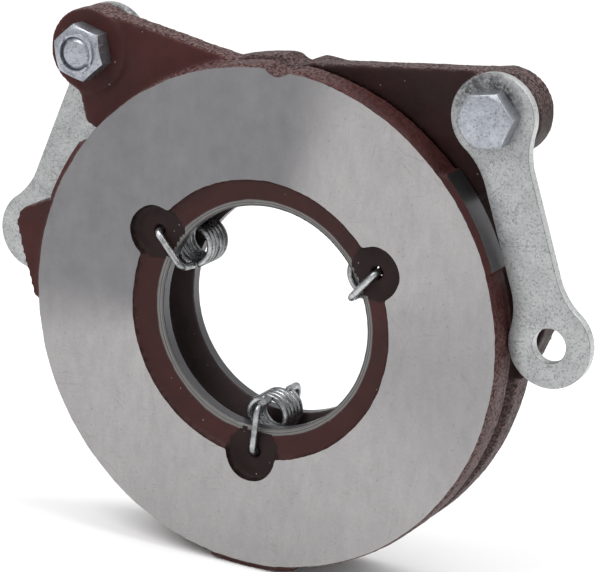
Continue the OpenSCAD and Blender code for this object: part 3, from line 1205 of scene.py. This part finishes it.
@dataclass
class ReturnSpring:
    """One return spring, in the frame of its lobe: outwards, sideways and the height."""

    number: int
    clock: float
    knee_out: float
    knee_side: float
    coil_circle: float = 38.2 * MM
    wire_radius: float = 1.25 * MM
    coil_radius: float = 7.0 * MM
    turns: int = 5
    gap: float = 0.15 * MM
    leg_height: float = 15.9 * MM
    hook_circle: float = 49.0 * MM
    hook_end: float = 10.0 * MM
    coil_bend: float = 1.8 * MM
    knee_bend: float = 3.0 * MM
    hook_bend: float = 2.4 * MM
    stretch_from: float = 1.5 * MM
    stretch_to: float = 9.5 * MM
    steps_per_turn: int = 36
    corner_steps: int = 7
    sides: int = 16

    @property
    def half_height(self) -> float:
        """Half of the coil's height.

        Returns:
            The height from its middle to its end.
        """
        return self.turns * (2 * self.wire_radius + self.gap) / 2

    @property
    def end_angle(self) -> float:
        """Angle round the coil at which the legs leave it.

        Returns:
            The angle in radians.
        """
        return math.atan2(self.knee_side, self.coil_circle - self.knee_out)

    def coil_point(self, angle: float, height: float) -> Vector:
        """Finds a point on the coil's centre line.

        Args:
            angle: Angle round the coil in radians.
            height: Height over the coil's middle.

        Returns:
            The point in the lobe's frame.
        """
        return Vector((self.coil_circle - self.coil_radius * math.cos(angle),
            self.coil_radius * math.sin(angle), height))

    def corner(self, before: Vector, at: Vector, after: Vector, reach: float) -> list[Vector]:
        """Smooth bend of the wire.

        Args:
            before: Point on the way in.
            at: The bend's sharp corner.
            after: Point on the way out.
            reach: Distance from the corner at which the bend starts and ends.

        Returns:
            Points along the bend.
        """
        start = at + (before - at).normalized() * reach
        end = at + (after - at).normalized() * reach
        shares = [step / self.corner_steps for step in range(self.corner_steps + 1)]
        return [start.lerp(at, share).lerp(at.lerp(end, share), share) for share in shares]

    def half_route(self, side: Side) -> list[Vector]:
        """Centre line from the middle of the coil to one hook.

        Args:
            side: The disc that the hook belongs to.

        Returns:
            Points in the lobe's frame, with the height growing towards that disc.
        """
        hand = -side.value
        step = math.tau / self.steps_per_turn
        half_turns = self.turns * self.steps_per_turn // 2
        middle = self.end_angle - hand * half_turns * step
        route = [self.coil_point(middle + hand * step * count,
            self.half_height * count / half_turns) for count in range(half_turns)]
        coil_end = self.coil_point(self.end_angle, self.half_height)
        knee = Vector((self.knee_out, self.knee_side, self.leg_height))
        over_hole = Vector((self.hook_circle, 0, self.leg_height))
        tip = Vector((self.hook_circle, 0, self.hook_end))
        route += self.corner(route[-1], coil_end, knee, self.coil_bend)
        route += self.corner(coil_end, knee, over_hole, self.knee_bend)
        route += self.corner(knee, over_hole, tip, self.hook_bend)
        return route + [tip]

    def to_part(self, point: Vector, side: Side) -> Vector:
        """Moves a point from the lobe's frame to the part's.

        Args:
            point: Outwards, sideways and height.
            side: The disc that the height grows towards.

        Returns:
            The point in the part's frame.
        """
        clock = math.radians(self.clock)
        out, across, height = point
        return Vector((-out * math.sin(clock) - across * math.cos(clock), side.value * height,
            out * math.cos(clock) - across * math.sin(clock)))

    def sweep(self, route: list[Vector]) -> bmesh.types.BMesh:
        """Draws the wire along a route.

        Args:
            route: Points of the centre line in the part's frame.

        Returns:
            The closed wire.
        """
        ahead = [(route[min(i + 1, len(route) - 1)] - route[max(i - 1, 0)]).normalized()
            for i in range(len(route))]
        bm = bmesh.new()
        start = Matrix.Translation(route[0]) @ ahead[0].to_track_quat("Z", "X").to_matrix().to_4x4()
        made = bmesh.ops.create_circle(bm, cap_ends=True, segments=self.sides,
            radius=self.wire_radius, matrix=start)
        ring = list({edge for vertex in made["verts"] for edge in vertex.link_edges})
        for i in range(1, len(route)):
            grown = bmesh.ops.extrude_edge_only(bm, edges=ring)["geom"]
            verts = [part for part in grown if isinstance(part, bmesh.types.BMVert)]
            chosen = set(verts)
            ring = [part for part in grown if isinstance(part, bmesh.types.BMEdge)
                and part.verts[0] in chosen and part.verts[1] in chosen]
            turn = ahead[i - 1].rotation_difference(ahead[i]).to_matrix().to_4x4()
            move = Matrix.Translation(route[i]) @ turn @ Matrix.Translation(-route[i - 1])
            bmesh.ops.transform(bm, matrix=move, verts=verts)
        bmesh.ops.contextual_create(bm, geom=ring)
        bmesh.ops.recalc_face_normals(bm, faces=bm.faces)
        for face in bm.faces:
            face.smooth = len(face.verts) == 4
        return bm

    def build(self, finishes: Finishes) -> list[bpy.types.Object]:
        """Builds both halves of the spring, each running from the middle of the coil to the hook at its
        own disc.

        Args:
            finishes: The materials.

        Returns:
            The front and the rear half.
        """
        node = f"return_spring_{self.number}"
        halves = []
        for side, bodies in ((Side.FRONT, ("front_disc", "return_springs")),
                (Side.REAR, ("return_springs", "rear_disc"))):
            route = [self.to_part(point, side) for point in self.half_route(side)]
            half = to_piece(self.sweep(route), f"{node}_{side.name.lower()}")
            half.data.materials.append(finishes.wire)
            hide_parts(node)
            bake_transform(half)
            halves.append(half)
            log.info("%s: %d vertices", half.name, len(half.data.vertices))
        return halves


# ---- links and fasteners ----


@dataclass
class PlatedPart:
    """A link, bolt or nut: its solid with small rounded edges and plating."""

    node: str
    body: str
    slot: str
    edge: float

    def build(self, material: bpy.types.Material) -> bpy.types.Object:
        """Rounds the solid's edges and plates it.

        Args:
            material: The plating.

        Returns:
            The piece, which stands for its solid.
        """
        bm = merged_solid(self.node)
        bmesh.ops.dissolve_limit(bm, angle_limit=math.radians(0.5), verts=bm.verts, edges=bm.edges)
        sharp = [edge for edge in bm.edges
            if edge.is_manifold and edge.calc_face_angle() > math.radians(28)]
        bmesh.ops.bevel(bm, geom=sharp, offset=self.edge, offset_type="OFFSET", affect="EDGES",
            segments=2, profile=0.5, material=-1, clamp_overlap=True)
        bmesh.ops.triangulate(bm, faces=[face for face in bm.faces if len(face.verts) > 4])
        for face in bm.faces:
            face.smooth = True
        piece = to_piece(bm, f"{self.node}_plated")
        piece.data.set_sharp_from_angle(angle=math.radians(32))
        piece.data.materials.append(material)
        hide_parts(self.node)
        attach(piece, self.body)
        log.info("%s: %d vertices", piece.name, len(piece.data.vertices))
        return piece


@dataclass
class Actuator:
    """The whole actuator."""

    finishes: Finishes

    def build_discs(self) -> None:
        """Builds both castings."""
        for node, side in (("front_disc", Side.FRONT), ("rear_disc", Side.REAR)):
            DiscCasting(node, side).build(self.finishes)

    def build_springs(self) -> None:
        """Builds the three return springs."""
        for spring in (ReturnSpring(1, 60, 34.2 * MM, 4.7 * MM),
                ReturnSpring(2, -60, 36.0 * MM, -4.7 * MM, coil_circle=40.5 * MM),
                ReturnSpring(3, 180, 31.6 * MM, 1.1 * MM)):
            spring.build(self.finishes)

    def build_links(self) -> None:
        """Builds the pull links, their bolts and lock nuts."""
        for hand, disc in (("left", "front_disc"), ("right", "rear_disc")):
            PlatedPart(f"{hand}_link", f"{hand}_link", "link_zinc", 0.45 * MM).build(
                self.finishes.link)
            for kind in ("bolt", "nut"):
                PlatedPart(f"{hand}_{kind}", disc, "fastener_zinc", 0.22 * MM).build(
                    self.finishes.fastener)

    def polish_balls(self) -> None:
        """Gives the balls, which stay as their solids, their finish."""
        for number in range(1, 7):
            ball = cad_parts[f"ball_{number}"]
            ball.data.materials.clear()
            ball.data.materials.append(self.finishes.ball)
            log.info("%s: polished", ball.name)


# ---- studio ----


@dataclass
class Studio:
    """Pale floor, soft light and the camera."""

    floor_size: float = 8.0
    lens: float = 173.04
    sensor: float = 36.0
    eye: Vector = Vector((0.4301, -0.8733, 0.2908))
    right: Vector = Vector((0.8905, 0.4510, 0.0605))
    up: Vector = Vector((-0.1777, 0.2222, 0.9587))
    back: Vector = Vector((0.4189, -0.8645, 0.2780))

    def build_floor(self) -> None:
        """Lays the floor under the lowest point of the actuator."""
        bm = bmesh.new()
        level = Matrix.Translation((0, 0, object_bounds()[0].z - 0.2 * MM))
        bmesh.ops.create_grid(bm, x_segments=1, y_segments=1, size=self.floor_size / 2, matrix=level)
        floor = to_piece(bm, "floor")
        paper = bpy.data.materials.new("floor_paper")
        paper.use_nodes = True
        shader = paper.node_tree.nodes["Principled BSDF"]
        shader.inputs["Base Color"].default_value = (0.93, 0.93, 0.93, 1)
        shader.inputs["Roughness"].default_value = 0.9
        shader.inputs["Specular IOR Level"].default_value = 0.1
        floor.data.materials.append(paper)
        floor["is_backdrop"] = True

    def build_world(self) -> None:
        """Fills the studio with even white light."""
        world = bpy.data.worlds.new("studio")
        world.use_nodes = True
        sky = world.node_tree.nodes["Background"]
        sky.inputs["Color"].default_value = (1, 1, 1, 1)
        sky.inputs["Strength"].default_value = 0.75
        bpy.context.scene.world = world

    def hang_light(self, name: str, place: tuple[float, float, float], size: float,
            power: float) -> None:
        """Hangs a square soft light that looks at the actuator.

        Args:
            name: Name of the light.
            place: Its place.
            size: Length of its sides.
            power: Its power in watts.
        """
        lamp = bpy.data.lights.new(name, "AREA")
        lamp.size = size
        lamp.energy = power
        light = bpy.data.objects.new(name, lamp)
        light.location = place
        light.rotation_euler = (-Vector(place)).to_track_quat("-Z", "Y").to_euler()
        bpy.context.scene.collection.objects.link(light)

    def build_camera(self) -> None:
        """Places the camera."""
        lens = bpy.data.cameras.new("camera")
        lens.sensor_width = self.sensor
        lens.lens = self.lens
        camera = bpy.data.objects.new("camera", lens)
        turn = Matrix((self.right, self.up, self.back)).transposed()
        camera.matrix_world = Matrix.Translation(self.eye) @ turn.to_4x4()
        bpy.context.scene.collection.objects.link(camera)
        bpy.context.scene.camera = camera

    def build(self) -> None:
        """Sets up the floor, lights and camera."""
        self.build_floor()
        self.build_world()
        self.hang_light("key", (-0.5, -1.1, 1.5), 1.2, 22.0)
        self.hang_light("top", (0.9, 0.2, 1.6), 1.4, 20.0)
        self.build_camera()
        view = bpy.context.scene.view_settings
        view.view_transform = "Standard"
        log.info("studio ready")


def main() -> None:
    """Builds the actuator and the studio."""
    logging.basicConfig(level=logging.INFO, format="%(name)s: %(message)s")
    actuator = Actuator(Finishes.build())
    actuator.build_discs()
    actuator.build_springs()
    actuator.build_links()
    actuator.polish_balls()
    Studio().build()


if __name__ == "__main__":
    main()
